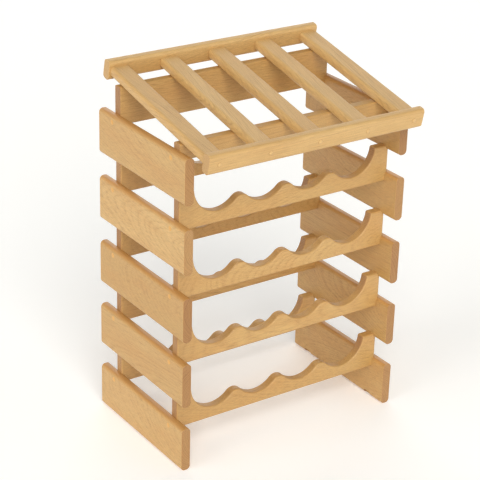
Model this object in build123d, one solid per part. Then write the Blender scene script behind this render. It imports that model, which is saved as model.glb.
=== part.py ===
from build123d import *
import math
import os

# Free-standing wine rack of solid hardwood: four levels of scalloped rails between
# stacked side boards, and a slanted display top.  Millimetres, +Z up, the front faces -Y.
# The origin is on the floor, in the middle of the whole rack's width and depth.

# Stock
STOCK_T = 19.05                 # every board is planed to this thickness
EASED_R = 3.175                 # small rounding on the long edges of the cross rails

# Side boards
BOARD_L = 298.45                # front to back
BOARD_H = 88.9
BOARD_R = 7.94                  # nearly a full bullnose, with a narrow flat left on the edge
RACK_W = 495.3                  # over the outer faces of the side boards
LEVELS = 4
PITCH = 134.6                   # from one level to the next

# Notches in the side boards' inner faces, where the rails' ends sit
NOTCH_DEPTH = 6.35
NOTCH_DROP = STOCK_T            # from a board's top edge down
RAIL_INSET = 38.1               # from a board's end to the rail's outer face

# Scalloped rails
RAIL_L = RACK_W - 2 * (STOCK_T - NOTCH_DEPTH)
RAIL_H = 73.0
SCALLOPS = 4
SCALLOP_PITCH = 100.0
SCALLOP_R = 52.5
SCALLOP_FLOOR = 23.2            # wood left under a scallop
CREST_R = 19.05                 # rounding of the tooth between two scallops
EAR_R = 3.0                     # rounding of an ear's inner corner

# The two boards that carry the display top
STRETCHER_H = 31.75
SUPPORT_H = 73.8

# Display top, drawn flat with its front bottom edge at the origin and then tilted
DISPLAY_RAIL_H = 38.1
DISPLAY_DEPTH = 363.0           # along the slope, over both display rails
DISPLAY_OVERHANG = 95.0         # along the slope, from its front face to the stretcher
DISPLAY_R = 6.35
SLATS = 5
SLAT_W = 38.1
SLAT_PITCH = 106.5
SLAT_RISE = (DISPLAY_RAIL_H - STOCK_T) / 2

# Dowels
DOWEL_R = 4.9
DOWEL_DROP = 12.6               # below a side board's top edge
DOWEL_BITE = 25.4               # length held by the rail or slat behind the first piece
SIDE_DOME = 0.5                 # how far a dowel's domed end stands out
DISPLAY_DOME = 1.5
PIN_R = 3.175
PIN_UP = 12.0                   # length of a locating pin in its slat
PIN_DOWN = 16.0                 # and below the slat

# Positions that follow from the dimensions above
TOP_EDGE = LEVELS * PITCH + BOARD_H
NOTCH_RISE = RAIL_H - NOTCH_DROP - (PITCH - BOARD_H)
REAR_RAIL = BOARD_L - RAIL_INSET - STOCK_T
RAIL_FRONTS = (RAIL_INSET, REAR_RAIL)
SLAT_XS = [SLAT_PITCH * (i - (SLATS - 1) / 2) for i in range(SLATS)]

# The slats rest on the rounded front top edges of the stretcher and of the rear support.
TILT = math.degrees(math.atan2(SUPPORT_H - STRETCHER_H, REAR_RAIL - RAIL_INSET))
COS_TILT = math.cos(math.radians(TILT))
SIN_TILT = math.sin(math.radians(TILT))
REST_Y = RAIL_INSET + EASED_R * (1 - SIN_TILT)
REST_Z = TOP_EDGE - NOTCH_DROP + STRETCHER_H - EASED_R * (1 - COS_TILT)
DISPLAY_Y = REST_Y - DISPLAY_OVERHANG * COS_TILT + SLAT_RISE * SIN_TILT
DISPLAY_Z = REST_Z - DISPLAY_OVERHANG * SIN_TILT - SLAT_RISE * COS_TILT


def corner_reach(slope, rise, sign):
    """Y reached by a display rail's rounded corner whose centre is at (slope, rise)."""
    return DISPLAY_Y + slope * COS_TILT - rise * SIN_TILT + sign * DISPLAY_R


# Y is measured from the side boards' front ends until the end, when everything moves by
# FRONT_Y.  The display top reaches furthest both ways, so it sets the middle.
FRONTMOST = corner_reach(DISPLAY_R, DISPLAY_RAIL_H - DISPLAY_R, -1)
REARMOST = corner_reach(DISPLAY_DEPTH - DISPLAY_R, DISPLAY_R, 1)
FRONT_Y = -(FRONTMOST + REARMOST) / 2


def block(x0, x1, y0, y1, z0, z1):
    """Box between two corners."""
    return Pos(x0, y0, z0) * Box(x1 - x0, y1 - y0, z1 - z0, align=(Align.MIN,) * 3)


def rounded_bar(x0, x1, y0, y1, z0, z1, axis, radius):
    """Box with its four edges along one axis rounded."""
    bar = block(x0, x1, y0, y1, z0, z1)
    return fillet(bar.edges().filter_by(axis), radius)


def domed_dowel(length, dome):
    """Dowel along +Z from z = 0, with a dome that stands out below z = 0."""
    sphere_r = (DOWEL_R ** 2 + dome ** 2) / (2 * dome)
    cap = Pos(0, 0, sphere_r - dome) * Sphere(sphere_r)
    standing = (Align.CENTER, Align.CENTER, Align.MIN)
    column = Pos(0, 0, -dome) * Cylinder(DOWEL_R, length + dome, align=standing)
    return (column & cap) + Cylinder(DOWEL_R, length, align=standing)


# --- Dowels and pins, placed first because the wood is bored to their shape ---

def side_dowels(z_edge):
    """Four dowels at one board row, left then right, whose top edges are at z_edge."""
    dowel = domed_dowel(STOCK_T - NOTCH_DEPTH + DOWEL_BITE, SIDE_DOME)
    found = []
    for sign in (-1, 1):
        for y_front in RAIL_FRONTS:
            place = Pos(sign * RACK_W / 2, y_front + STOCK_T / 2, z_edge - DOWEL_DROP)
            found.append(place * Rot(0, -sign * 90, 0) * dowel)
    return found


def tilted(shape):
    """Carry a piece of the flat display top to its tilted place."""
    return Pos(0, DISPLAY_Y, DISPLAY_Z) * Rot(TILT, 0, 0) * shape


def display_dowels(rear):
    """Dowels through one display rail into the slats' ends."""
    dowel = domed_dowel(STOCK_T + DOWEL_BITE, DISPLAY_DOME)
    start = DISPLAY_DEPTH if rear else 0
    turn = Rot(90, 0, 0) if rear else Rot(-90, 0, 0)
    return [tilted(Pos(x, start, DISPLAY_RAIL_H / 2) * turn * dowel) for x in SLAT_XS]


def locating_pins(y_front):
    """Hidden pins between the outer slats and the board whose front is at y_front."""
    slope = DISPLAY_OVERHANG + (y_front - RAIL_INSET + STOCK_T / 2 - EASED_R) / COS_TILT
    length = PIN_UP + PIN_DOWN
    pin = Cylinder(PIN_R, length, align=(Align.CENTER, Align.CENTER, Align.MIN))
    return [tilted(Pos(x, slope, SLAT_RISE - PIN_DOWN) * pin) for x in (SLAT_XS[0], SLAT_XS[-1])]


def bored(solid, fasteners):
    """Cut each fastener that passes through the solid out of it."""
    box = solid.bounding_box()
    for fastener in fasteners:
        if box.overlaps(fastener.bounding_box()):
            solid = solid - fastener
    return solid


# --- Side boards ---

def side_board():
    """Left side board with its lower front outer edge at the origin."""
    board = rounded_bar(0, STOCK_T, 0, BOARD_L, 0, BOARD_H, Axis.Y, BOARD_R)
    inner = STOCK_T - NOTCH_DEPTH
    for y in RAIL_FRONTS:
        board -= block(inner, STOCK_T, y, y + STOCK_T, BOARD_H - NOTCH_DROP, BOARD_H)
        board -= block(inner, STOCK_T, y, y + STOCK_T, 0, NOTCH_RISE)
    return board


# --- Rails ---

def scalloped_outline():
    """Closed outline of a scalloped rail, centred on x = 0, its lower edge at y = 0."""
    centre_h = SCALLOP_FLOOR + SCALLOP_R
    reach = SCALLOP_R + CREST_R
    slope = math.degrees(math.acos(SCALLOP_PITCH / 2 / reach))
    crest_h = centre_h - reach * math.sin(math.radians(slope))
    ear_dip = math.degrees(math.asin((centre_h - RAIL_H) / SCALLOP_R))
    last = SCALLOPS - 1
    ear_x = SCALLOP_PITCH * last / 2 + SCALLOP_R * math.cos(math.radians(ear_dip))
    edges = []
    for i in range(SCALLOPS):
        x = SCALLOP_PITCH * (i - last / 2)
        start = 180 + (ear_dip if i == 0 else slope)
        end = 360 - (ear_dip if i == last else slope)
        edges.append(CenterArc((x, centre_h), SCALLOP_R, start, end - start))
        if i < last:
            crest = (x + SCALLOP_PITCH / 2, crest_h)
            edges.append(CenterArc(crest, CREST_R, slope, 180 - 2 * slope))
    half = RAIL_L / 2
    left_end = [(-ear_x, RAIL_H), (-half, RAIL_H), (-half, 0)]
    right_end = [(half, 0), (half, RAIL_H), (ear_x, RAIL_H)]
    edges.append(Polyline(*left_end, *right_end))
    face = make_face(edges)
    ear_corners = [v for v in face.vertices() if abs(abs(v.X) - ear_x) < 0.01 and v.Y > RAIL_H - 0.01]
    return fillet(ear_corners, EAR_R)


def scalloped_rail():
    """Scalloped rail standing up, its front face at y = 0 and its lower edge at z = 0."""
    rail = Pos(0, STOCK_T, 0) * Rot(90, 0, 0) * extrude(scalloped_outline(), STOCK_T)
    inside = RAIL_L / 2 - 0.01
    edges = [e for e in rail.edges() if abs(e.center().X) < inside and abs(e.tangent_at(0.5).Y) < 0.5]
    return fillet(edges, EASED_R)


def plain_rail(height):
    """Plain cross board, its front face at y = 0 and its lower edge at z = 0."""
    return rounded_bar(-RAIL_L / 2, RAIL_L / 2, 0, STOCK_T, 0, height, Axis.X, EASED_R)


# --- Display top, flat ---

def display_rail(slope):
    """Front or rear rail of the display top, from slope back by one thickness."""
    half = RAIL_L / 2
    return rounded_bar(-half, half, slope, slope + STOCK_T, 0, DISPLAY_RAIL_H, Axis.X, DISPLAY_R)


def display_slat(x):
    """Slat between the two display rails."""
    half = SLAT_W / 2
    ends = (STOCK_T, DISPLAY_DEPTH - STOCK_T)
    return rounded_bar(x - half, x + half, *ends, SLAT_RISE, SLAT_RISE + STOCK_T, Axis.Y, DISPLAY_R)


# --- Assembly ---

def assembly():
    """Every piece by its node name: a list of the solids in that node."""
    row_edges = [row * PITCH + BOARD_H for row in range(LEVELS + 1)]
    rack_dowels = [dowel for edge in row_edges for dowel in side_dowels(edge)]
    front_dowels = display_dowels(rear=False)
    rear_dowels = display_dowels(rear=True)
    pins = locating_pins(RAIL_INSET) + locating_pins(REAR_RAIL)
    fasteners = rack_dowels + front_dowels + rear_dowels + pins

    wood = {}
    left = side_board()
    right = mirror(left, about=Plane.YZ)
    for row in range(LEVELS + 1):
        wood[f"side_board_left_{row + 1}"] = Pos(-RACK_W / 2, 0, row * PITCH) * left
        wood[f"side_board_right_{row + 1}"] = Pos(RACK_W / 2, 0, row * PITCH) * right
    rail = scalloped_rail()
    for level in range(LEVELS):
        z = row_edges[level] - NOTCH_DROP
        wood[f"scalloped_rail_front_{level + 1}"] = Pos(0, RAIL_INSET, z) * rail
        wood[f"scalloped_rail_rear_{level + 1}"] = Pos(0, REAR_RAIL, z) * rail
    z = TOP_EDGE - NOTCH_DROP
    wood["top_stretcher_front"] = Pos(0, RAIL_INSET, z) * plain_rail(STRETCHER_H)
    wood["display_support_rear"] = Pos(0, REAR_RAIL, z) * plain_rail(SUPPORT_H)
    wood["display_rail_front"] = tilted(display_rail(0))
    wood["display_rail_rear"] = tilted(display_rail(DISPLAY_DEPTH - STOCK_T))
    for i, x in enumerate(SLAT_XS):
        wood[f"display_slat_{i + 1}"] = tilted(display_slat(x))

    pieces = {name: [bored(solid, fasteners)] for name, solid in wood.items()}
    pieces["side_dowels"] = rack_dowels
    pieces["display_dowels_front"] = front_dowels
    pieces["display_dowels_rear"] = rear_dowels
    pieces["display_locating_pins"] = pins
    return pieces


os.makedirs("parts", exist_ok=True)
for name, solids in assembly().items():
    placed = [Pos(0, FRONT_Y, 0) * solid for solid in solids]
    export_step(placed[0] if len(placed) == 1 else Compound(placed), f"parts/{name}.step")
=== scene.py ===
# %% [markdown]
# # A solid ash wine rack
# The rack arrives as a set of finished CAD pieces in one shared frame, in metres, with +Z up
# and the front facing -Y.  This lesson lights the rack and remakes every piece that shows,
# from its own size in that frame, so that its edges have the softness of sanded wood.  Each
# piece then gets its own cut of ash or birch.

# %% Load the frame
import math

import bmesh
import bpy
from mathutils import Matrix, Vector


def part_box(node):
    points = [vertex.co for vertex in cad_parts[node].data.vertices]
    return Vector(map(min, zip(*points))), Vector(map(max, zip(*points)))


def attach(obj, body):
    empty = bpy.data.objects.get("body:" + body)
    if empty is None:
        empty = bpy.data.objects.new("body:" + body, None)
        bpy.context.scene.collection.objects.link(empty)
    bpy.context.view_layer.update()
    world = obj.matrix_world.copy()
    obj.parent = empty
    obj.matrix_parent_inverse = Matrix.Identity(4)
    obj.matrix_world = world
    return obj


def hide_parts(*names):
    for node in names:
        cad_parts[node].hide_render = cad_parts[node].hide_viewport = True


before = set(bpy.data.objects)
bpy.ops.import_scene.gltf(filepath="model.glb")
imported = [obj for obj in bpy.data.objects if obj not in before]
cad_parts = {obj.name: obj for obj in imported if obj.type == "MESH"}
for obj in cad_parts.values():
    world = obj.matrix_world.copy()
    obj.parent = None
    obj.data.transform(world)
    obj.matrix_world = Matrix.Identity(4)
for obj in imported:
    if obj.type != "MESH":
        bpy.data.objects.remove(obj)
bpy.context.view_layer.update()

MM = 0.001
scene = bpy.context.scene

# %% [markdown]
# ## Two small helpers
# Colours are given as sRGB hex values, but shaders work in linear light, so one
# function turns the first into the second.  One more adds a node of any kind, sets it up and
# links it, which keeps every node tree below as short as a recipe.

# %% Helpers for colours and nodes
def linear(hex_value, alpha=1.0):
    """sRGB hex such as "#ddb37c" as linear red, green, blue and alpha."""
    parts = [int(hex_value[i:i + 2], 16) / 255 for i in (1, 3, 5)]
    curve = [p / 12.92 if p <= 0.04045 else ((p + 0.055) / 1.055) ** 2.4 for p in parts]
    return (*curve, alpha)


def add(tree, kind, inputs=None, **settings):
    """Add a node, set its properties, then fill each input with a value or a link."""
    node = tree.nodes.new(kind)
    for name, value in settings.items():
        setattr(node, name, value)
    for key, value in (inputs or {}).items():
        if isinstance(value, bpy.types.NodeSocket):
            tree.links.new(value, node.inputs[key])
        else:
            node.inputs[key].default_value = value
    return node


print("mid grey in linear light:", round(linear("#808080")[0], 3))

# %% [markdown]
# ## The camera
# The rack is seen from its left front corner and from a little above, with a long lens, so
# that its uprights stay nearly parallel.  The direction is set by two angles and a slight
# roll, and the camera's own axes are worked out from them.

# %% Camera
CAMERA_PLACE = Vector((-1.6535, -2.3251, 1.6752))
CAMERA_TURN = math.radians(34.70)
CAMERA_DOWN = math.radians(24.61)
CAMERA_ROLL = math.radians(1.62)
LENS = 123.14  # mm
SIGHT = 200.0  # far enough to take in the whole floor

forward = Vector((
    math.sin(CAMERA_TURN) * math.cos(CAMERA_DOWN),
    math.cos(CAMERA_TURN) * math.cos(CAMERA_DOWN),
    -math.sin(CAMERA_DOWN),
))
level_right = Vector((math.cos(CAMERA_TURN), -math.sin(CAMERA_TURN), 0))
level_up = level_right.cross(forward)
right = level_right * math.cos(CAMERA_ROLL) + level_up * math.sin(CAMERA_ROLL)
up = level_up * math.cos(CAMERA_ROLL) - level_right * math.sin(CAMERA_ROLL)
axes = Matrix((right, up, -forward)).transposed().to_4x4()

camera = bpy.data.objects.new("camera", bpy.data.cameras.new("camera"))
camera.data.lens = LENS
camera.data.clip_end = SIGHT
camera.matrix_world = Matrix.Translation(CAMERA_PLACE) @ axes
scene.collection.objects.link(camera)
scene.camera = camera

# %% [markdown]
# ## Floor and walls
# The rack stands on a wide sheet of studio paper.  Real paper is uncoated and matt, so it
# takes soft shadows and gives no reflections.  A faint glow of its own keeps those shadows
# light.  The world stands in for a white room, with bright walls low down and a dim ceiling
# above, so the rack has a pale background from low viewpoints too.

# %% Floor and walls
FLOOR_HALF = 40.0
PAPER_ROUGHNESS = 0.9
PAPER_GLOW = 0.14
WALL_STRENGTH = 0.95
CEILING_STRENGTH = 0.12
WALL_TOP = 0.22       # both heights are the sine of the angle above the horizon
CEILING_START = 0.50

scene.view_settings.view_transform = "Standard"
scene.view_settings.look = "None"

corners = [(x * FLOOR_HALF, y * FLOOR_HALF, 0) for x, y in ((-1, -1), (1, -1), (1, 1), (-1, 1))]
floor_mesh = bpy.data.meshes.new("floor")
floor_mesh.from_pydata(corners, [], [(0, 1, 2, 3)])
floor = bpy.data.objects.new("floor", floor_mesh)
scene.collection.objects.link(floor)

paper = bpy.data.materials.new("studio_paper")
paper.use_nodes = True
sheet = paper.node_tree.nodes["Principled BSDF"].inputs
sheet["Base Color"].default_value = linear("#fafaf9")
sheet["Roughness"].default_value = PAPER_ROUGHNESS
sheet["Emission Color"].default_value = linear("#ffffff")
sheet["Emission Strength"].default_value = PAPER_GLOW
floor_mesh.materials.append(paper)

studio = bpy.data.worlds.new("studio")
studio.use_nodes = True
backdrop = studio.node_tree.nodes["Background"].inputs
backdrop["Color"].default_value = linear("#fdfdfc")
look = add(studio.node_tree, "ShaderNodeTexCoord")
height = add(studio.node_tree, "ShaderNodeSeparateXYZ", {"Vector": look.outputs["Generated"]})
fade = add(studio.node_tree, "ShaderNodeMapRange", {
    "Value": height.outputs["Z"], "From Min": WALL_TOP, "From Max": CEILING_START,
    "To Min": WALL_STRENGTH, "To Max": CEILING_STRENGTH,
}, interpolation_type="SMOOTHSTEP")
studio.node_tree.links.new(fade.outputs[0], backdrop["Strength"])
scene.world = studio
print("floor:", 2 * FLOOR_HALF, "m wide")

# %% [markdown]
# ## Window light
# Wood looks best under wide, soft light.  The key light comes from the front left, a little
# above the rack, and is as wide as a window, so it models the rounded edges and leaves the
# inner faces in warm shade.  A second one lights the outer faces of the left boards, and two
# more fill in from the right and from behind.  All are distant, so the floor stays even.

# %% Lights
DAYLIGHT = "#fffefa"
LAMP_AWAY = 4.0


def window(name, turn, rise, strength, width):
    """Distant light as wide as a window; turn 0 is in front of the rack, 90 on its left."""
    a, e = math.radians(turn), math.radians(rise)
    away = Vector((-math.sin(a) * math.cos(e), -math.cos(a) * math.cos(e), math.sin(e)))
    light = bpy.data.lights.new(name, "SUN")
    light.angle = math.radians(width)
    light.energy = strength
    light.color = linear(DAYLIGHT)[:3]
    lamp = bpy.data.objects.new(name, light)
    lamp.location = away * LAMP_AWAY
    lamp.rotation_mode = "QUATERNION"
    lamp.rotation_quaternion = (-away).to_track_quat("-Z", "Y")
    scene.collection.objects.link(lamp)


window("key_light", turn=24, rise=36, strength=2.10, width=40)
window("side_light", turn=88, rise=30, strength=0.98, width=40)
window("fill_light", turn=-50, rise=30, strength=0.20, width=60)
window("back_light", turn=-150, rise=30, strength=0.80, width=50)

# %% [markdown]
# ## Wood: where a piece was cut from the tree
# The wood's pattern is a solid one: it is drawn through a whole tree, and a board's faces and
# ends simply cut through it.  So end grain shows the same rings without any extra work, which
# a flat pattern laid on each face could not do.
#
# Every piece carries two attributes.  "timber" is where a point lies in the piece, with the
# grain along X, and "log" is the piece's own place in the tree, drawn at random.  The log also
# draws three tickets: how far the grain leans, how dusky the piece is and how plainly its
# rings show.

# %% Place in the tree
LEAN = 0.20  # most that the grain runs sideways for each unit of length


def wood_place(tree):
    """Where each point lies in the tree, and the log's tickets for its tone and figure."""
    timber = add(tree, "ShaderNodeAttribute", attribute_name="timber").outputs["Vector"]
    log = add(tree, "ShaderNodeAttribute", attribute_name="log").outputs["Vector"]
    moved = add(tree, "ShaderNodeVectorMath", {0: timber, 1: log}, operation="ADD")
    lottery = add(tree, "ShaderNodeTexWhiteNoise", {"Vector": log}, noise_dimensions="3D")
    tickets = add(tree, "ShaderNodeSeparateXYZ", {"Vector": lottery.outputs["Color"]})

    # a board is never sawn quite along the tree, so its grain leans across the thickness
    lean = add(tree, "ShaderNodeMapRange", {
        "Value": tickets.outputs["Y"], "To Min": -LEAN, "To Max": LEAN,
    })
    along = add(tree, "ShaderNodeSeparateXYZ", {"Vector": timber})
    slip = add(tree, "ShaderNodeMath", {
        0: along.outputs["X"], 1: lean.outputs[0],
    }, operation="MULTIPLY")
    shift = add(tree, "ShaderNodeCombineXYZ", {"Y": slip.outputs[0]})
    grain = add(tree, "ShaderNodeVectorMath", {
        0: moved.outputs[0], 1: shift.outputs[0],
    }, operation="ADD")
    return grain.outputs[0], tickets.outputs["X"], tickets.outputs["Z"]


print("grain leans by up to", round(math.degrees(math.atan(LEAN)), 1), "degrees")

# %% [markdown]
# ## Wood: the rings of the years
# Each year an ash tree lays down a band of open pores and then a band of dense, smoother
# wood, so a board shows fine lines along its length, and arches where the saw ran along a
# ring.  The distance from the tree's heart, counted in rings, gives the year, and what is
# left over gives the season.  Slow noise bends the rings, and more noise along the count
# makes good and bad years.

# %% Growth rings
RING = 3.4 * MM               # real rings are 1.5 to 3 mm; drawn coarser so that they show
BENDS = (4.0, 9.0, 9.0)       # bends for each metre along the grain and across it
BEND_DETAIL = 2.5
BEND_SIZE = 22 * MM
YEAR_PACE = 0.45              # good and bad years last for about two rings
YEAR_SWING = 1.6              # in rings
NEW_YEAR = (0.55, 0.80)       # brightness at the start and the end of a year
SEASONS = ((0.12, 0.25), (0.34, 0.80), (0.60, 1.00))  # time of year, brightness


def growth_rings(tree, grain, wander):
    """Brightness of the year's rings, from dark early wood to pale late wood."""
    slow = add(tree, "ShaderNodeVectorMath", {0: grain, 1: BENDS}, operation="MULTIPLY")
    drift = add(tree, "ShaderNodeTexNoise", {
        "Vector": slow.outputs[0], "Scale": 1.0, "Detail": BEND_DETAIL,
    })
    sway = add(tree, "ShaderNodeVectorMath", {
        0: drift.outputs["Color"], 1: (0.5, 0.5, 0.5),
    }, operation="SUBTRACT")
    swing = add(tree, "ShaderNodeVectorMath", {
        0: sway.outputs[0], "Scale": BEND_SIZE * wander,
    }, operation="SCALE")
    bent = add(tree, "ShaderNodeVectorMath", {0: grain, 1: swing.outputs[0]}, operation="ADD")
    across = add(tree, "ShaderNodeVectorMath", {
        0: bent.outputs[0], 1: (0, 1, 1),
    }, operation="MULTIPLY")
    radius = add(tree, "ShaderNodeVectorMath", {0: across.outputs[0]}, operation="LENGTH")
    years = add(tree, "ShaderNodeMath", {
        0: radius.outputs["Value"], 1: 1 / RING,
    }, operation="MULTIPLY")
    growth = add(tree, "ShaderNodeTexNoise", {
        "W": years.outputs[0], "Scale": YEAR_PACE, "Detail": 1.0,
    }, noise_dimensions="1D")
    uneven = add(tree, "ShaderNodeMath", {
        0: growth.outputs["Fac"], 1: YEAR_SWING, 2: years.outputs[0],
    }, operation="MULTIPLY_ADD")
    season = add(tree, "ShaderNodeMath", {0: uneven.outputs[0]}, operation="FRACT")
    rings = add(tree, "ShaderNodeValToRGB", {"Fac": season.outputs[0]})
    stops = rings.color_ramp.elements
    for stop, shade in zip(stops, NEW_YEAR):
        stop.color = (shade, shade, shade, 1)
    for position, shade in SEASONS:
        stops.new(position).color = (shade, shade, shade, 1)
    return rings.outputs["Color"]


print("rings in a 100 mm board:", round(100 * MM / RING))

# %% [markdown]
# ## Wood: pores, flecks and streaks
# Ash's pores are open tubes about 0.3 mm wide.  A saw cuts along them, so they show as short
# dark dashes.  Wider flecks break the ring lines up, and broad streaks show where the tree
# grew warmer wood.  All three are the same noise, drawn out along the grain by a different
# length and width.

# %% Pores, flecks and streaks
PORE_LENGTH = 14 * MM
PORE_WIDTH = 0.6 * MM         # real pores are half as wide; drawn coarser so that they show
FLECK_LENGTH = 60 * MM
FLECK_WIDTH = 1.9 * MM        # real flecks are under 1 mm wide; drawn coarser too
DASH_DARK = 0.34              # noise below this is all dash
DASH_CLEAR = 0.60             # noise above this is all clear
STREAK_LENGTH = 187.5 * MM
STREAK_WIDTH = 37.5 * MM


def drawn_out(tree, grain, length, width, detail, roughness=0.5):
    """Noise from 0 to 1 in patches of about length, along the grain, by width."""
    pull = (1 / length, 1 / width, 1 / width)
    drawn = add(tree, "ShaderNodeVectorMath", {0: grain, 1: pull}, operation="MULTIPLY")
    noise = add(tree, "ShaderNodeTexNoise", {
        "Vector": drawn.outputs[0], "Scale": 1.0, "Detail": detail, "Roughness": roughness,
    })
    return noise.outputs["Fac"]


def dashes(tree, grain, length, width):
    """0 in a dark dash along the grain, 1 between the dashes."""
    noise = drawn_out(tree, grain, length, width, detail=2.0)
    return add(tree, "ShaderNodeMapRange", {
        "Value": noise, "From Min": DASH_DARK, "From Max": DASH_CLEAR,
    }).outputs[0]


print("pores:", round(PORE_LENGTH / PORE_WIDTH), "times as long as wide")

# %% [markdown]
# ## Wood: how strongly the pattern shows
# Even in one tree, some boards are plain and others boldly figured.  So the log's own ticket
# sets how dark the early wood's lines are, and the flecks break those lines, which keeps
# them from looking drawn.  Pores and flecks also darken the wood a little by themselves.

# %% Strength of the pattern
FIGURE = (0.50, 1.00)         # strength of the rings in the plainest and the most figured log
FLECK_BREAK = (1.00, 0.35)    # how much of a ring line shows in a fleck and between flecks
PORE_SHADE = (0.88, 1.02)     # brightness in a pore and between pores
FLECK_SHADE = (0.88, 1.03)    # brightness in a fleck and between flecks


def ring_lines(tree, rings, flecks, figure):
    """How dark the early wood's lines are: bold in a figured log, and broken by flecks."""
    bold = add(tree, "ShaderNodeMapRange", {
        "Value": figure, "To Min": FIGURE[0], "To Max": FIGURE[1],
    })
    broken = add(tree, "ShaderNodeMapRange", {
        "Value": flecks, "To Min": FLECK_BREAK[0], "To Max": FLECK_BREAK[1],
    })
    early = add(tree, "ShaderNodeMath", {0: 1.0, 1: rings}, operation="SUBTRACT")
    dark = add(tree, "ShaderNodeMath", {
        0: early.outputs[0], 1: bold.outputs[0],
    }, operation="MULTIPLY")
    return add(tree, "ShaderNodeMath", {
        0: dark.outputs[0], 1: broken.outputs[0],
    }, operation="MULTIPLY").outputs[0]


def fine_shade(tree, pores, flecks):
    """Brightness that the pores and the flecks leave."""
    in_pore = add(tree, "ShaderNodeMapRange", {
        "Value": pores, "To Min": PORE_SHADE[0], "To Max": PORE_SHADE[1],
    })
    in_fleck = add(tree, "ShaderNodeMapRange", {
        "Value": flecks, "To Min": FLECK_SHADE[0], "To Max": FLECK_SHADE[1],
    })
    return add(tree, "ShaderNodeMath", {
        0: in_pore.outputs[0], 1: in_fleck.outputs[0],
    }, operation="MULTIPLY").outputs[0]


print("darkest pore:", round(PORE_SHADE[0] * FLECK_SHADE[0], 2), "of the wood's brightness")

# %% [markdown]
# ## Wood: the planed face
# The colour of a planed face is built up in layers: the late wood's tone, the early wood's
# darker lines over it, the warm streaks over both, and last the pores and flecks, which
# darken what is there.

# %% Colour of a planed face
STREAK_RANGE = (0.38, 0.68)   # noise where a streak starts and where it is full
STREAK_MOST = 0.50


def blend(tree, factor, first, second):
    """Mix two colours, each a hex value or a link."""
    ends = [linear(c) if isinstance(c, str) else c for c in (first, second)]
    mixed = add(tree, "ShaderNodeMix", {
        "Factor": factor, 6: ends[0], 7: ends[1],
    }, data_type="RGBA")
    return mixed.outputs[2]


def planed_face(tree, tone, grain, rings, pores, flecks, tickets):
    """Colour of a face planed along the grain."""
    duskiness, figure = tickets
    late = blend(tree, duskiness, tone["pale"], tone["dusky"])
    lined = blend(tree, ring_lines(tree, rings, flecks, figure), late, tone["early"])
    broad = drawn_out(tree, grain, STREAK_LENGTH, STREAK_WIDTH, detail=3.0, roughness=0.6)
    streak = add(tree, "ShaderNodeMapRange", {
        "Value": broad, "From Min": STREAK_RANGE[0], "From Max": STREAK_RANGE[1],
        "To Min": 0.0, "To Max": STREAK_MOST,
    })
    warm = blend(tree, streak.outputs[0], lined, tone["warm"])
    return add(tree, "ShaderNodeVectorMath", {
        0: warm, "Scale": fine_shade(tree, pores, flecks),
    }, operation="SCALE").outputs[0]


print("warm streaks:", STREAK_LENGTH / MM, "by", STREAK_WIDTH / MM, "mm")

# %% [markdown]
# ## Wood: sawn ends and painted shade
# Where a tool cuts across the pores, the wood drinks more finish and looks darker.  That
# happens at the sawn ends.  Surfaces that face up or down, flat tops and bottoms and the upper
# and lower parts of rounded edges, get a warm brown painted shade, the shade that the pieces
# above and below cast on them.  Both are found by the way that the surface faces, which works
# on any shape and needs no painting by hand.

# %% Ends and edges
UPWARD = (0.0, 0.0, 1.0)
# how squarely a surface faces up or down where its painted shade starts and where it is full
PAINTED_SHADE_START = 0.25
PAINTED_SHADE_FULL = 0.90


def facing(tree, way, start, full, most):
    """How squarely the surface faces along way: 0 up to start, rising to most at full."""
    skin = add(tree, "ShaderNodeTexCoord").outputs["Normal"]
    squarely = add(tree, "ShaderNodeVectorMath", {0: skin, 1: way}, operation="DOT_PRODUCT")
    size = add(tree, "ShaderNodeMath", {0: squarely.outputs["Value"]}, operation="ABSOLUTE")
    return add(tree, "ShaderNodeMapRange", {
        "Value": size.outputs[0], "From Min": start, "From Max": full,
        "To Min": 0.0, "To Max": most,
    }).outputs[0]


def ends_and_painted_shade(tree, tone, face, grain_way, rings, duskiness):
    """The face's colour, with painted shade where it faces up or down and dark sawn ends over it.
    """
    # painted shade: surfaces that face up or down, flat or rounded, take a warm brown, the shade
    # that the pieces above and below cast on them
    painted_shade = facing(tree, UPWARD, PAINTED_SHADE_START, PAINTED_SHADE_FULL, tone["edge_mix"])
    edged = blend(tree, painted_shade, face, tone["edge"])
    end = blend(tree, rings, tone["end_early"], tone["end_late"])
    thirst = add(tree, "ShaderNodeMapRange", {
        "Value": duskiness, "To Min": tone["end_low"], "To Max": tone["end_high"],
    })
    sawn = facing(tree, grain_way, tone["end_start"], tone["end_full"], thirst.outputs[0])
    return blend(tree, sawn, edged, end)


# the painted shade is full on surfaces turned this far from upright
print("routed edges are full at", round(math.degrees(math.asin(PAINTED_SHADE_FULL))), "degrees of turn")

# %% [markdown]
# ## Wood: the satin varnish
# The rack is sanded and sealed with a clear satin varnish, which gives wood an IOR of about
# 1.5 and a soft, wide highlight.  It sinks into the open early wood and stays smoother on the
# dense late wood, so the rings show in the gloss as well as in the colour.  What is left of
# the pores is a shallow relief under it.

# %% Varnish
VARNISH_IOR = 1.5
VARNISH_ROUGHNESS = (0.58, 0.44)  # over early wood and over late wood
COAT = 0.15
COAT_ROUGHNESS = 0.38
RING_RELIEF = 0.3             # how deep the rings are beside the pores
RELIEF = 0.3
PORE_DEPTH = 0.12 * MM        # shallow, as when varnish has partly filled the pores


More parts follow.
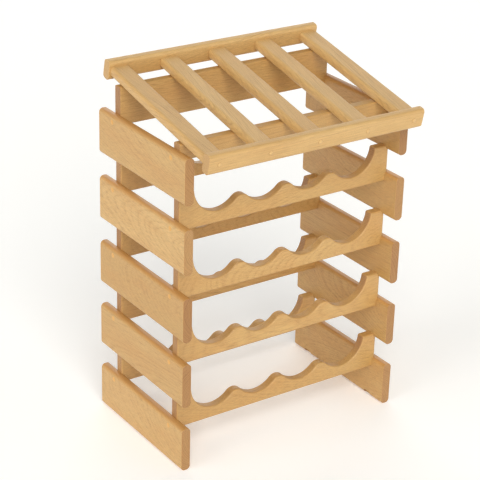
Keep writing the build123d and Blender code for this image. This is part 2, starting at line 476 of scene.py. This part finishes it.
def varnish(tree, shader, rings, pores):
    """Satin coat over the rings and the pores."""
    gloss = add(tree, "ShaderNodeMapRange", {
        "Value": rings, "To Min": VARNISH_ROUGHNESS[0], "To Max": VARNISH_ROUGHNESS[1],
    })
    tree.links.new(gloss.outputs[0], shader.inputs["Roughness"])
    relief = add(tree, "ShaderNodeMath", {
        0: rings, 1: RING_RELIEF, 2: pores,
    }, operation="MULTIPLY_ADD")
    bump = add(tree, "ShaderNodeBump", {
        "Height": relief.outputs[0], "Strength": RELIEF, "Distance": PORE_DEPTH,
    })
    tree.links.new(bump.outputs[0], shader.inputs["Normal"])
    shader.inputs["IOR"].default_value = VARNISH_IOR
    shader.inputs["Coat Weight"].default_value = COAT
    shader.inputs["Coat Roughness"].default_value = COAT_ROUGHNESS


print("varnish: IOR", VARNISH_IOR, "roughness", VARNISH_ROUGHNESS)

# %% [markdown]
# ## Wood: the whole material
# All the steps above come together in one function.  A kind of wood is then no more than a
# table of tones, and a piece can change any of them: late wood runs from pale to dusky with
# the log, and the ends of a pale log (end_low) take up less of the darker end colours than
# those of a dusky one (end_high).

# %% The whole material
# the last colour and mix paint shade: a warm brown on surfaces that face up or down, which shows
# only where a piece asks for it
ASH = {
    "pale": "#d2ab6e", "dusky": "#be9557", "early": "#9a6c3a", "warm": "#bf8c4d",
    "end_late": "#a17040", "end_early": "#653c1a", "end_low": 0.55, "end_high": 0.90,
    "edge": "#b97f3e", "edge_mix": 0.0, "end_start": 0.55, "end_full": 0.95,
}


def wood(name, grain_way, wander=1.0, **changes):
    """Varnished wood whose grain runs along the unit vector grain_way on the rack."""
    tone = ASH | changes
    material = bpy.data.materials.new(name)
    material.use_nodes = True
    tree = material.node_tree
    shader = tree.nodes["Principled BSDF"]
    grain, duskiness, figure = wood_place(tree)
    rings = growth_rings(tree, grain, wander)
    pores = dashes(tree, grain, PORE_LENGTH, PORE_WIDTH)
    flecks = dashes(tree, grain, FLECK_LENGTH, FLECK_WIDTH)
    face = planed_face(tree, tone, grain, rings, pores, flecks, (duskiness, figure))
    final = ends_and_painted_shade(tree, tone, face, grain_way, rings, duskiness)
    tree.links.new(final, shader.inputs["Base Color"])
    varnish(tree, shader, rings, pores)
    print(f"{name}: {len(tree.nodes)} nodes")
    return material


print("entries in the table for ash:", len(ASH))

# %% [markdown]
# ## Three helpers for shapes
# Shapes are placed by the boxes of the CAD pieces, and drawn with arcs.  A mesh that code has
# built can have faces that point the wrong way, so one helper turns them all outwards before
# it hands the mesh on.

# %% Helpers for shapes
def middle(node):
    """Centre of a CAD node's box."""
    low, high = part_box(node)
    return (low + high) / 2


def arc(centre, radius, start, end, steps):
    """Points along an arc, from start to end degrees, both included."""
    turns = [math.radians(start + (end - start) * i / steps) for i in range(steps + 1)]
    return [(centre[0] + radius * math.cos(t), centre[1] + radius * math.sin(t)) for t in turns]


def shell(name, mesh):
    """Turn a finished bmesh into a mesh with its faces pointing outwards."""
    bmesh.ops.recalc_face_normals(mesh, faces=mesh.faces)
    data = bpy.data.meshes.new(name)
    mesh.to_mesh(data)
    mesh.free()
    return data


print("middle of the left bottom board:", [round(v, 3) for v in middle("side_board_left_1")])

# %% [markdown]
# ## One way to make every bar and rail
# A side board, a plain rail, a slat and a scalloped rail are all the same kind of thing: an
# outline pushed along an axis, with the edges at both ends of the push eased over.  So each
# piece only needs a function that gives its outline as a ring of points for any inset.  Rings
# at growing insets are joined into a skin, and the two ends are closed.  A Bevel modifier
# could ease the edges too, but this way every point is placed, and the skin stays even.

# %% Eased prism
EASE_STEPS = 5
CORNER_STEPS = 7


def eased_prism(name, ring, depth, ease):
    """Mesh of ring(inset) pushed along Z, centred on Z = 0, with both rims eased."""
    curve = [math.radians(90 * i / EASE_STEPS) for i in range(EASE_STEPS + 1)]
    rim = [(ease * (1 - math.sin(t)), ease * (1 - math.cos(t)) - depth / 2) for t in curve]
    stations = rim + [(inset, -z) for inset, z in reversed(rim)]
    mesh = bmesh.new()
    loops = [[mesh.verts.new((x, y, z)) for x, y in ring(inset)] for inset, z in stations]
    count = len(loops[0])
    for below, above in zip(loops, loops[1:]):
        for i in range(count):
            j = (i + 1) % count
            mesh.faces.new((below[i], below[j], above[j], above[i]))
    mesh.faces.new(list(reversed(loops[0])))
    mesh.faces.new(loops[-1])
    return shell(name, mesh)


def bar_ring(width, height, radius):
    """Outline function of a rounded rectangle centred on the origin."""
    def ring(inset):
        points = []
        for sign_x, sign_y, start in ((1, 1, 0), (-1, 1, 90), (-1, -1, 180), (1, -1, 270)):
            centre = (sign_x * (width / 2 - radius), sign_y * (height / 2 - radius))
            points += arc(centre, radius - inset, start, start + 90, CORNER_STEPS)
        return points
    return ring


print("each eased rim:", EASE_STEPS + 1, "rings of points")

# %% [markdown]
# ## Rows and columns of places
# Everything on the rack that repeats does so at even steps: boards go up the levels, rails up
# the levels and from front to rear, slats across the width.  So Geometry Nodes can work every
# place out from its number alone.  The number divided by the count of columns gives the row,
# and the remainder gives the column.

# %% Places for the copies
def grid_points(tree, given):
    """One point for each copy, counted along the columns and then down the rows."""
    rows, columns = given["Rows"], given["Columns"]
    count = add(tree, "ShaderNodeMath", {0: rows, 1: columns}, operation="MULTIPLY")
    index = add(tree, "GeometryNodeInputIndex").outputs[0]
    ratio = add(tree, "ShaderNodeMath", {0: index, 1: columns}, operation="DIVIDE")
    row = add(tree, "ShaderNodeMath", {0: ratio.outputs[0]}, operation="FLOOR")
    column = add(tree, "ShaderNodeMath", {0: index, 1: columns}, operation="MODULO")
    down = add(tree, "ShaderNodeVectorMath", {
        0: given["Row Step"], "Scale": row.outputs[0],
    }, operation="SCALE")
    over = add(tree, "ShaderNodeVectorMath", {
        0: given["Column Step"], "Scale": column.outputs[0],
    }, operation="SCALE")
    both = add(tree, "ShaderNodeVectorMath", {
        0: down.outputs[0], 1: over.outputs[0],
    }, operation="ADD")
    spot = add(tree, "ShaderNodeVectorMath", {
        0: both.outputs[0], 1: given["First Place"],
    }, operation="ADD")
    return add(tree, "GeometryNodePoints", {
        "Count": count.outputs[0], "Position": spot.outputs[0],
    }).outputs[0]


print("a copy's place: first place + row x row step + column x column step")

# %% [markdown]
# ## A node tree that repeats timber
# Geometry Nodes copy one finished piece to each of those places.  Before the copies are made,
# each point's position is stored as "timber", so the grain stays inside the piece however it
# is turned.  Each copy then gets a random "log", so no two copies share a pattern.  The tree
# ends by turning the copies into real mesh, with smooth faces and crisp edges, and giving
# them their wood.

# %% Repeating tree
CRISP_ANGLE = math.radians(40)
TREE_INPUTS = (
    ("Piece", "Geometry"), ("Rows", "Int"), ("Row Step", "Vector"), ("Columns", "Int"),
    ("Column Step", "Vector"), ("First Place", "Vector"), ("Turn", "Rotation"),
    ("Log Low", "Vector"), ("Log High", "Vector"), ("Seed", "Int"), ("Wood", "Material"),
)


def crisp_shading(tree, mesh):
    """Shade the faces smoothly, but keep the edges that bend sharply crisp."""
    smooth = add(tree, "GeometryNodeSetShadeSmooth", {
        "Geometry": mesh, "Shade Smooth": True,
    }, domain="FACE")
    bend = add(tree, "GeometryNodeInputMeshEdgeAngle").outputs["Unsigned Angle"]
    crisp = add(tree, "ShaderNodeMath", {0: bend, 1: CRISP_ANGLE}, operation="GREATER_THAN")
    return add(tree, "GeometryNodeSetShadeSmooth", {
        "Geometry": smooth.outputs[0], "Selection": crisp.outputs[0], "Shade Smooth": False,
    }, domain="EDGE").outputs[0]


def repeat_tree():
    """Tree with named inputs for the counts, steps, first place, turn, logs and wood."""
    tree = bpy.data.node_groups.new("repeat_timber", "GeometryNodeTree")
    for label, kind in TREE_INPUTS:
        tree.interface.new_socket(label, in_out="INPUT", socket_type=f"NodeSocket{kind}")
    tree.interface.new_socket("Timber", in_out="OUTPUT", socket_type="NodeSocketGeometry")
    given = add(tree, "NodeGroupInput").outputs
    here = add(tree, "GeometryNodeInputPosition").outputs[0]
    timber = add(tree, "GeometryNodeStoreNamedAttribute", {
        "Geometry": given["Piece"], "Name": "timber", "Value": here,
    }, data_type="FLOAT_VECTOR", domain="POINT")
    copies = add(tree, "GeometryNodeInstanceOnPoints", {
        "Points": grid_points(tree, given), "Instance": timber.outputs[0],
        "Rotation": given["Turn"],
    })
    draw = add(tree, "FunctionNodeRandomValue", {
        "Min": given["Log Low"], "Max": given["Log High"], "Seed": given["Seed"],
    }, data_type="FLOAT_VECTOR")
    logs = add(tree, "GeometryNodeStoreNamedAttribute", {
        "Geometry": copies.outputs[0], "Name": "log", "Value": draw.outputs[0],
    }, data_type="FLOAT_VECTOR", domain="INSTANCE")
    real = add(tree, "GeometryNodeRealizeInstances", {"Geometry": logs.outputs[0]})
    dressed = add(tree, "GeometryNodeSetMaterial", {
        "Geometry": crisp_shading(tree, real.outputs[0]), "Material": given["Wood"],
    })
    add(tree, "NodeGroupOutput", {"Timber": dressed.outputs[0]})
    return tree


REPEAT = repeat_tree()
print("repeating tree:", len(REPEAT.nodes), "nodes,", len(TREE_INPUTS), "inputs")

# %% [markdown]
# ## Using the tree
# One function runs the tree on a mesh and returns its copies as a plain mesh.  A modifier's
# inputs are set by the sockets' identifiers, so those are looked up once.  Logs are drawn
# from a box inside the tree, given by two corners.  A flat-sawn board comes from 60 to 110 mm
# off the tree's heart, where a ring curves gently enough to run along a wide face.  Weighted
# normals keep the flat faces looking flat beside their eased edges.

# %% Repeat a piece
INPUT_IDS = {
    item.name: item.identifier for item in REPEAT.interface.items_tree if item.in_out == "INPUT"
}
FLAT_SAWN = ((-3.0, 0.060, -0.06), (3.0, 0.110, 0.06))
ONCE = (1, (0.0, 0.0, 0.0))
UNTURNED = (0.0, 0.0, 0.0)


def repeat(name, mesh, timber, first, turn, rows=ONCE, columns=ONCE, seed=0,
           logs=FLAT_SAWN, cutter=None):
    """Copy a mesh over rows and columns and return the copies as one plain piece."""
    piece = bpy.data.objects.new(name, mesh)
    scene.collection.objects.link(piece)
    if cutter:
        cut = piece.modifiers.new("notches", "BOOLEAN")
        cut.object = cutter
        cut.solver = "EXACT"
    nodes = piece.modifiers.new("repeat", "NODES")
    nodes.node_group = REPEAT
    values = {
        "Rows": rows[0], "Row Step": rows[1], "Columns": columns[0], "Column Step": columns[1],
        "First Place": first, "Turn": turn, "Log Low": logs[0], "Log High": logs[1],
        "Seed": seed, "Wood": timber,
    }
    for label, value in values.items():
        nodes[INPUT_IDS[label]] = tuple(value) if isinstance(value, Vector) else value
    even = piece.modifiers.new("even_normals", "WEIGHTED_NORMAL")
    even.keep_sharp = True
    graph = bpy.context.evaluated_depsgraph_get()
    plain = bpy.data.meshes.new_from_object(piece.evaluated_get(graph))
    piece.modifiers.clear()
    piece.data = plain
    piece.data.name = name
    print(f"{name}: {rows[0] * columns[0]} copies, {len(plain.polygons)} faces")
    return piece


print("inputs set by identifier:", len(INPUT_IDS))

# %% [markdown]
# ## What a piece stands for
# The CAD pieces that a finished one replaces are hidden, and it is attached to the body that it
# moves with.  Nothing on the rack moves, so every piece rides on the root body.

# %% Tell the frame
def numbered(stem, count):
    """Names of a numbered family of CAD nodes."""
    return [f"{stem}_{i + 1}" for i in range(count)]


def settle(piece, slot, *nodes):
    """Hide the CAD nodes that the piece stands for and attach it to the root body; slot is not
    used.
    """
    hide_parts(*nodes)
    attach(piece, "root")


print("names look like:", numbered("side_board_left", 2))

# %% [markdown]
# ## Sizes read from the frame
# The CAD model already holds the rack's sizes, so they are read from its boxes where a box
# shows them.  Roundings, scallops and dowels are written out in the cells below.  They follow
# the CAD model, with two differences: some edges that are sharp there are eased here, and the
# ears' inner rounding is 0.4 mm larger here, so that the eased edge can follow it.

# %% Sizes
board_low, board_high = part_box("side_board_left_1")
rail_low, rail_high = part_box("scalloped_rail_front_1")
BOARD_T, BOARD_L, BOARD_H = board_high - board_low
RAIL_L, RAIL_T, RAIL_H = rail_high - rail_low
NOTCH_DEPTH = board_high.x - rail_low.x
NOTCH_DROP = board_high.z - rail_low.z
NOTCH_RISE = rail_high.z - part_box("side_board_left_2")[0].z
front_1 = middle("scalloped_rail_front_1")
level_step = middle("scalloped_rail_front_2") - front_1
depth_step = middle("scalloped_rail_rear_1") - front_1
LEVELS = sum(n.startswith("scalloped_rail_front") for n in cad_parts)
print("level to level:", round(level_step.z / MM, 1), "mm, notches:", round(NOTCH_DEPTH / MM, 2))

# %% [markdown]
# ## Side boards
# Ten equal boards stand on edge, five a side.  Their long edges are turned over almost to a
# half round, and their inner faces have four notches each, where the rails' ends sit.  A
# rounded bar makes the board, and a Boolean modifier cuts the notches before the copies are
# made, as a saw would before the boards are stacked.  The right-hand boards are the same
# boards turned half round.

# %% Side boards
BOARD_R = 7.94 * MM
BAR_ARRIS = 0.7 * MM
OVERCUT = 1 * MM              # how far the cutter stands out of the wood
ALONG_Y = (0.0, 1.0, 0.0)
QUARTER = math.radians(90)
LAY_ALONG_X = Matrix.Rotation(QUARTER, 4, "Z") @ Matrix.Rotation(QUARTER, 4, "X")


def bar(name, length, thickness, height, radius):
    """Rounded bar with its length along X, its thickness along Y and its height along Z."""
    mesh = eased_prism(name, bar_ring(thickness, height, radius), length, BAR_ARRIS)
    mesh.transform(LAY_ALONG_X)
    return mesh


def notch_cutter():
    """Four blocks that cut a board's notches, on its -Y face."""
    blocks = bmesh.new()
    deep = NOTCH_DEPTH + OVERCUT
    upper = (BOARD_H / 2 - NOTCH_DROP, BOARD_H / 2 + OVERCUT)
    lower = (-BOARD_H / 2 - OVERCUT, -BOARD_H / 2 + NOTCH_RISE)
    for x in (-depth_step.y / 2, depth_step.y / 2):
        for low, high in (upper, lower):
            place = Matrix.Translation((x, -BOARD_T / 2 + NOTCH_DEPTH - deep / 2, (low + high) / 2))
            block = place @ Matrix.Diagonal((RAIL_T, deep, high - low, 1))
            bmesh.ops.create_cube(blocks, size=1, matrix=block)
    cutter = bpy.data.objects.new("notch_cutter", shell("notch_cutter", blocks))
    scene.collection.objects.link(cutter)
    return cutter


# flat-sawn ash, planed and varnished: wide lines and arches on the faces, upright streaks on
# the ends, and a warmer, browner painted shade on the tops, bottoms and rounded long edges,
# where the boards above and below shade them
board_ash = wood("ash_side_boards", ALONG_Y, edge_mix=0.55)
cutter = notch_cutter()
for side, turned, seed in (("left", QUARTER, 9), ("right", -QUARTER, 12)):
    board_mesh = bar("side_board", BOARD_L, BOARD_T, BOARD_H, BOARD_R)
    boards = repeat(
        f"side_boards_{side}", board_mesh, board_ash, middle(f"side_board_{side}_1"),
        (0.0, 0.0, turned), rows=(LEVELS + 1, level_step), seed=seed, cutter=cutter,
    )
    settle(boards, "side_boards", *numbered(f"side_board_{side}", LEVELS + 1))
bpy.data.objects.remove(cutter)

# %% [markdown]
# ## The scalloped outline
# The rail that cradles the bottles has one driving rule: equal round scallops at an even
# pitch, with the tooth between two scallops rounded by a smaller circle that touches both.
# The two circles stay tangent when the outline is inset, because one grows by exactly what
# the other loses, so the eased edge follows the scallops without a kink.  The outermost
# scallops run on upwards into the ears, which slot into the side boards.

# %% Scalloped outline
SCALLOPS = 4
SCALLOP_PITCH = 100 * MM
SCALLOP_R = 52.5 * MM
SCALLOP_FLOOR = 23.2 * MM     # wood left under a scallop
CREST_R = 19.05 * MM
EAR_R = 3.4 * MM
CORNER_R = 0.6 * MM
LEAST_R = 0.02 * MM           # a corner never shrinks to nothing, so its points stay apart
SCALLOP_STEPS = 30
CREST_STEPS = 12
EAR_STEPS = 5
TIP_STEPS = 2


def square_corner(x, y, inset, start):
    """Small corner of an outline, its tip at (x, y) before the inset."""
    radius = max(CORNER_R - inset, LEAST_R)
    pull = inset + radius
    toward_x = -1 if start in (270, 0) else 1
    toward_y = -1 if start in (0, 90) else 1
    centre = (x + toward_x * pull, y + toward_y * pull)
    return arc(centre, radius, start, start + 90, TIP_STEPS)


print("scallops:", SCALLOPS, "of", SCALLOP_R / MM, "mm radius,", SCALLOP_PITCH / MM, "mm apart")

# %% [markdown]
# ## Going round the outline
# The outline starts at the lower right corner, goes up the end and over the ear, crosses the
# scallops and the crests between them from right to left, and comes down the other end.  The
# bottom edge needs no points of its own: the last corner simply joins the first.

# %% The whole outline
def scalloped_ring(inset):
    """Outline of a scalloped rail, anticlockwise from its lower right corner."""
    centre_y = SCALLOP_FLOOR + SCALLOP_R - RAIL_H / 2
    reach = SCALLOP_R + CREST_R
    slope = math.degrees(math.acos(SCALLOP_PITCH / 2 / reach))
    crest_y = centre_y - reach * math.sin(math.radians(slope))
    round_r = SCALLOP_R + inset
    ear_r = EAR_R - inset
    ear_y = RAIL_H / 2 - inset - ear_r
    dip = math.degrees(math.asin((ear_y - centre_y) / round_r))
    last = SCALLOPS - 1
    ear_x = SCALLOP_PITCH * last / 2 + round_r * math.cos(math.radians(dip))
    half_l, half_h = RAIL_L / 2, RAIL_H / 2
    points = square_corner(half_l, -half_h, inset, 270)
    points += square_corner(half_l, half_h, inset, 0)
    points += arc((ear_x + ear_r, ear_y), ear_r, 90, 180, EAR_STEPS)
    for i in reversed(range(SCALLOPS)):
        x = SCALLOP_PITCH * (i - last / 2)
        start = dip if i == last else -slope
        end = -180 - dip if i == 0 else -180 + slope
        # where a scallop meets an ear, the ear's arc already holds the shared point
        scallop = arc((x, centre_y), round_r, start, end, SCALLOP_STEPS)
        points += scallop[1 if i == last else 0:-1 if i == 0 else None]
        if i > 0:
            crest = (x - SCALLOP_PITCH / 2, crest_y)
            points += arc(crest, CREST_R - inset, slope, 180 - slope, CREST_STEPS)[1:-1]
    points += arc((-ear_x - ear_r, ear_y), ear_r, 0, 90, EAR_STEPS)
    points += square_corner(-half_l, half_h, inset, 90)
    points += square_corner(-half_l, -half_h, inset, 180)
    return points


print("points round a scalloped rail:", len(scalloped_ring(0)))

# %% [markdown]
# ## Scalloped rails
# Eight rails share that outline, a front one and a rear one at each of four levels.  A router
# has eased both rims of the outline by 3 mm, so bottles slide over them without a scratch.

# %% Scalloped rails
RAIL_EASE = 3.175 * MM
ALONG_X = (1.0, 0.0, 0.0)
STAND_UP = Matrix.Rotation(QUARTER, 4, "X")

# flat-sawn ash, cut through by the scallops: calm lines along the rail that come out in the
# scallops as short curves, with hardly any painted shade on the surfaces that face up or down
rail_ash = wood("ash_cross_rails", ALONG_X, edge_mix=0.06)
rail_mesh = eased_prism("scalloped_rail", scalloped_ring, RAIL_T, RAIL_EASE)
rail_mesh.transform(STAND_UP)
rails = repeat(
    "scalloped_rails", rail_mesh, rail_ash, front_1, UNTURNED,
    rows=(LEVELS, level_step), columns=(2, depth_step), seed=3,
)
rail_nodes = numbered("scalloped_rail_front", LEVELS) + numbered("scalloped_rail_rear", LEVELS)
settle(rails, "cross_rails", *rail_nodes)

# %% [markdown]
# ## Two plain boards under the display top
# Two plain boards carry the display top: a low one in front and a tall one behind.  They are
# rounded bars of the same ash as the scalloped rails, each with its own log.

# %% Plain rails
for node, seed in (("top_stretcher_front", 21), ("display_support_rear", 22)):
    low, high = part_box(node)
    mesh = bar(node, high.x - low.x, high.y - low.y, high.z - low.z, RAIL_EASE)
    board = repeat(f"{node}_board", mesh, rail_ash, middle(node), UNTURNED, seed=seed)
    settle(board, "cross_rails", node)

# %% [markdown]
# ## The slanted display top
# The display top is a ladder: two rails and five slats, all tilted together.  The tilt is
# read from the frame, as the slope between the tops of the front and rear boards under it.
# Every bar is made lying along X and then turned, so its grain always runs along its length.

# %% Display top
DISPLAY_R = 6.35 * MM
SLATS = sum(n.startswith("display_slat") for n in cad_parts)
rear_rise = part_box("display_support_rear")[1].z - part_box("top_stretcher_front")[1].z
TILT = math.atan2(rear_rise, depth_step.y)
SLOPE_WAY = Vector((0.0, math.cos(TILT), math.sin(TILT)))
tilt_turn = Matrix.Rotation(TILT, 3, "X")
up_slope = (tilt_turn @ Matrix.Rotation(QUARTER, 3, "Z")).to_euler()
down_slope = (tilt_turn @ Matrix.Rotation(-QUARTER, 3, "Z")).to_euler()

display_front = middle("display_rail_front")
display_back = middle("display_rail_rear")
DISPLAY_RAIL_H = 2 * RAIL_T
slat_low, slat_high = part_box("display_slat_1")
SLAT_W = slat_high.x - slat_low.x
SLAT_L = (display_back - display_front).length - RAIL_T
slat_step = middle("display_slat_2") - middle("display_slat_1")

# straight-grained ash, picked paler for the part that is seen most: fine, even lines, and
# ends hardly darker than the faces
PALE_ASH = {
    "pale": "#d6b174", "dusky": "#cda56a", "warm": "#c99a5a", "end_low": 0.20, "end_high": 0.50,
}
CALM = 0.7                    # straighter grain, which wanders less
display_ash = wood("ash_display_rails", ALONG_X, wander=CALM, **PALE_ASH)
slat_ash = wood("ash_slats", tuple(SLOPE_WAY), wander=CALM, **PALE_ASH)

display_rails = repeat(
    "display_rails", bar("display_rail", RAIL_L, RAIL_T, DISPLAY_RAIL_H, DISPLAY_R),
    display_ash, display_front, tilt_turn.to_euler(),
    columns=(2, display_back - display_front), seed=31,
)
settle(display_rails, "display_top", "display_rail_front", "display_rail_rear")
slats = repeat(
    "display_slats", bar("display_slat", SLAT_L, SLAT_W, RAIL_T, DISPLAY_R),
    slat_ash, middle("display_slat_1"), up_slope, columns=(SLATS, slat_step), seed=32,
)
settle(slats, "display_top", *numbered("display_slat", SLATS))
print("tilt in degrees:", round(math.degrees(TILT), 2), "slats in mm:", round(SLAT_L / MM, 1))

# %% [markdown]
# ## A dowel's shape
# Each joint is locked by a birch dowel, driven in from outside, trimmed and sanded to a low
# dome.  A dowel is a solid of revolution: rings of points that follow a shallow sphere out to
# the dowel's radius, and then one straight run to its end.  A cylinder with a bevel would have
# a flat end with a rim, where the real one has a crown.

# %% Dowel shape
DOWEL_R = 4.9 * MM
DOWEL_SIDES = 32
DOME_RINGS = 7


def dowel(name, length, radius, dome):
    """Dowel along X from x = 0 inwards, with a dome that stands out on the -X side."""
    sphere_r = (radius ** 2 + dome ** 2) / (2 * dome)
    widest = math.asin(radius / sphere_r)
    bends = [widest * i / DOME_RINGS for i in range(1, DOME_RINGS + 1)]
    stations = [(sphere_r * (1 - math.cos(t)) - dome, sphere_r * math.sin(t)) for t in bends]
    stations.append((length, radius))
    turns = [math.tau * k / DOWEL_SIDES for k in range(DOWEL_SIDES)]
    mesh = bmesh.new()
    tip = mesh.verts.new((-dome, 0, 0))
    rings = []
    for x, r in stations:
        rings.append([mesh.verts.new((x, r * math.cos(t), r * math.sin(t))) for t in turns])
    for k in range(DOWEL_SIDES):
        j = (k + 1) % DOWEL_SIDES
        mesh.faces.new((tip, rings[0][k], rings[0][j]))
        for near, far in zip(rings, rings[1:]):
            mesh.faces.new((near[k], far[k], far[j], near[j]))
    mesh.faces.new(rings[-1])
    return shell(name, mesh)


print("a dowel's end is", round(2 * DOWEL_R / MM, 1), "mm across")

# %% [markdown]
# ## Side dowels
# Twenty dowels run through the side boards into the ends of the crosspieces.  Both dowels of
# one crosspiece are made together, a rack's width apart, and the pair is then repeated.

# %% Side dowels
BORE_GRAIN = ((-3.0, -0.03, -0.03), (3.0, 0.03, 0.03))  # dowels come from near the heart
DOWEL_DROP = 12.6 * MM        # from a board's top edge down to its dowels
DOWEL_BITE = 25.4 * MM        # how far a dowel goes into its crosspiece
SIDE_DOME = 0.5 * MM
HONEY = {
    "pale": "#d8a75a", "dusky": "#d09e52", "early": "#b98545", "warm": "#cf9a50",
    "end_late": "#d8a352", "end_early": "#be8a44", "end_low": 0.9, "end_high": 0.9,
}

peg = dowel("side_dowel", rail_low.x - board_low.x + DOWEL_BITE, DOWEL_R, SIDE_DOME)
pair = bmesh.new()
for turned in (0, math.pi):
    peg_copy = peg.copy()
    outward = Matrix.Translation((board_low.x, 0, 0))
    peg_copy.transform(Matrix.Rotation(turned, 4, "Z") @ outward)
    pair.from_mesh(peg_copy)
first_pair = Vector((0, front_1.y, board_high.z - DOWEL_DROP))

# turned birch, sanded nearly flush: its end drinks the varnish, so each dowel shows as a
# small honey-coloured spot, yellower than the ash round it
side_birch = wood("birch_side_dowels", ALONG_X, **HONEY)
side_dowels = repeat(
    "side_dowel_pegs", shell("side_dowel_pair", pair), side_birch, first_pair, UNTURNED,
    rows=(LEVELS + 1, level_step), columns=(2, depth_step), seed=41, logs=BORE_GRAIN,
)
settle(side_dowels, "dowels", "side_dowels")

# %% [markdown]
# ## Display dowels
# Ten more dowels run through the display top's two rails into its slats.  They follow the
# slope, and their domes stand further out than those at the sides.

# %% Display dowels
DISPLAY_DOME = 1.5 * MM
# the face tones are dark and only a narrow end range takes the pale end tones, so the cap is pale
# and the rim round it gets a painted shade
PALE_BIRCH = {
    "pale": "#b58a50", "dusky": "#ae8247", "early": "#9a6f3a", "warm": "#ab7d42",
    "end_late": "#d6b074", "end_early": "#bf955a", "end_low": 1.0, "end_high": 1.0,
    "end_start": 0.83, "end_full": 0.93,
}

# turned birch left proud: a pale cap that catches the light, ringed by a painted shade, a
# darker rim where the dome turns down into its bore
display_birch = wood("birch_display_dowels", tuple(SLOPE_WAY), **PALE_BIRCH)
display_peg = dowel("display_dowel", RAIL_T + DOWEL_BITE, DOWEL_R, DISPLAY_DOME)
first_slat_x = Vector((middle("display_slat_1").x, 0, 0))
for node, face, turn, seed in (
    ("display_dowels_front", display_front - SLOPE_WAY * RAIL_T / 2, up_slope, 42),
    ("display_dowels_rear", display_back + SLOPE_WAY * RAIL_T / 2, down_slope, 43),
):
    pegs = repeat(
        f"{node}_pegs", display_peg.copy(), display_birch, face + first_slat_x, turn,
        columns=(SLATS, slat_step), seed=seed, logs=BORE_GRAIN,
    )
    settle(pegs, "dowels", node)

# %% [markdown]
# ## Locating pins
# Four plain pins stand between the outer slats and the two boards under them, square to the
# slope, and keep the display top from sliding.  They are the same turned dowel, made thinner
# and stood upright.  Their places are worked back from the box around all four.

# %% Locating pins
PIN_R = 3.175 * MM
PIN_L = 28 * MM
PIN_DOME = 0.6 * MM
pins_low, pins_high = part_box("display_locating_pins")
pin_way = tilt_turn @ Vector((0, 0, 1))
half_box = Vector((
    PIN_R,
    PIN_L / 2 * math.sin(TILT) + PIN_R * math.cos(TILT),
    PIN_L / 2 * math.cos(TILT) + PIN_R * math.sin(TILT),
))
first_pin = pins_low + half_box
pin_step = pins_high - half_box - first_pin
pin_turn = (tilt_turn @ Matrix.Rotation(-QUARTER, 3, "Y")).to_euler()
pins = repeat(
    "locating_pins", dowel("locating_pin", PIN_L - PIN_DOME, PIN_R, PIN_DOME), display_birch,
    first_pin - pin_way * (PIN_L / 2 - PIN_DOME), pin_turn,
    rows=(2, Vector((0, pin_step.y, pin_step.z))), columns=(2, Vector((pin_step.x, 0, 0))),
    seed=44, logs=BORE_GRAIN,
)
settle(pins, "dowels", "display_locating_pins")
